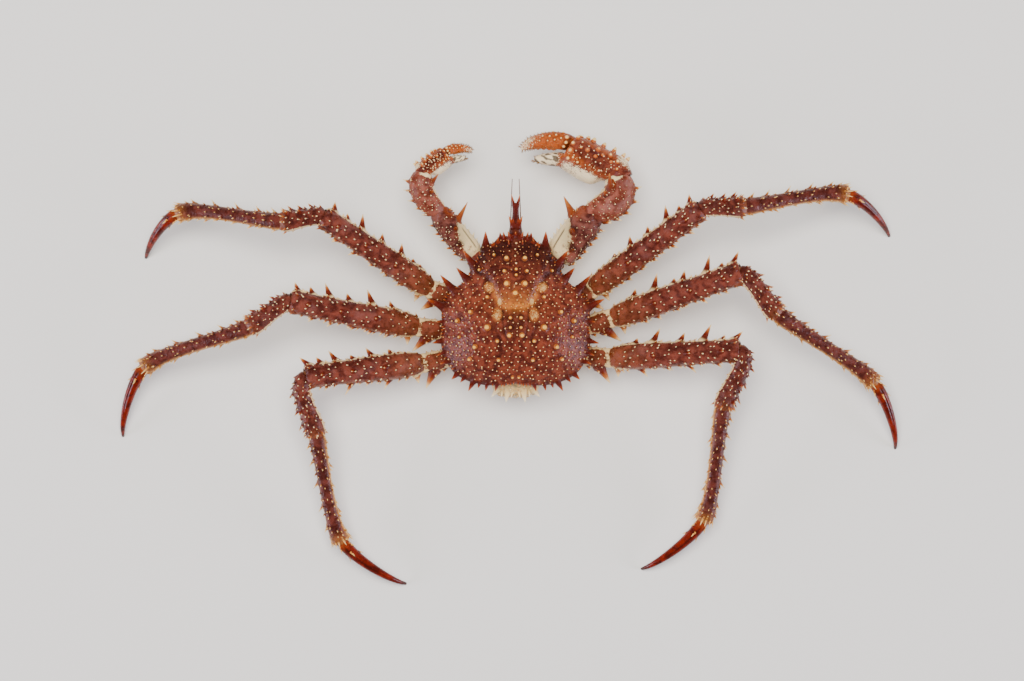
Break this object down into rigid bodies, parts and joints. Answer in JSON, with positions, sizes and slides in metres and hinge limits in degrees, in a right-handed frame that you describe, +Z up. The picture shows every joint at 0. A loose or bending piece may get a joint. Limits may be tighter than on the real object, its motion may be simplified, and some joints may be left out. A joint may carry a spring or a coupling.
{
  "type": "king crab",
  "caption": "Life-size king crab standing on long spiny walking legs, with a heavy right pincer, a forked beak spine and a tail folded under the body.",
  "frame": {"origin": "on the floor, under the middle of the standing crab's bounding box", "axes": "+Z up from the floor through the back; the crab faces -Y and its left side is +X"},
  "size_m": [0.6723, 0.3907, 0.0806],
  "materials": {
    "carapace_shell": "satin red-brown chalky shell with cream tubercles",
    "leg_shell": "satin red-brown shell, cream spine tips and undersides",
    "dactyl_shell": "smooth glossy dark red shell",
    "claw_shell": "orange and cream shell, worn smooth at the fingers",
    "pale_cuticle": "pale cream cuticle",
    "cornea": "glossy black",
    "feeler_cuticle": "thin reddish cuticle"
  },
  "bodies": {
    "root": {"carapace": "carapace_shell", "thorax": "pale_cuticle", "abdomen": "pale_cuticle", "eye_R": "cornea", "antennule_R": "feeler_cuticle", "antenna_R": "feeler_cuticle", "maxilliped_R": "pale_cuticle", "eye_L": "cornea", "antennule_L": "feeler_cuticle", "antenna_L": "feeler_cuticle", "maxilliped_L": "pale_cuticle", "leg1_R_base": "leg_shell", "leg1_R_merus": "leg_shell", "leg1_R_carpus": "leg_shell", "leg1_R_propodus": "leg_shell", "leg1_R_dactyl": "dactyl_shell", "leg1_L_base": "leg_shell", "leg1_L_merus": "leg_shell", "leg1_L_carpus": "leg_shell", "leg1_L_propodus": "leg_shell", "leg1_L_dactyl": "dactyl_shell", "leg2_R_base": "leg_shell", "leg2_R_merus": "leg_shell", "leg2_R_carpus": "leg_shell", "leg2_R_propodus": "leg_shell", "leg2_R_dactyl": "dactyl_shell", "leg2_L_base": "leg_shell", "leg2_L_merus": "leg_shell", "leg2_L_carpus": "leg_shell", "leg2_L_propodus": "leg_shell", "leg2_L_dactyl": "dactyl_shell", "leg3_R_base": "leg_shell", "leg3_R_merus": "leg_shell", "leg3_R_carpus": "leg_shell", "leg3_R_propodus": "leg_shell", "leg3_R_dactyl": "dactyl_shell", "leg3_L_base": "leg_shell", "leg3_L_merus": "leg_shell", "leg3_L_carpus": "leg_shell", "leg3_L_propodus": "leg_shell", "leg3_L_dactyl": "dactyl_shell", "claw_R_base": "leg_shell", "claw_R_merus": "leg_shell", "claw_R_carpus": "leg_shell", "claw_R_palm": "claw_shell", "claw_R_finger": "claw_shell", "claw_L_base": "leg_shell", "claw_L_merus": "leg_shell", "claw_L_carpus": "leg_shell", "claw_L_palm": "claw_shell", "claw_L_finger": "claw_shell"}
  },
  "joints": []
}
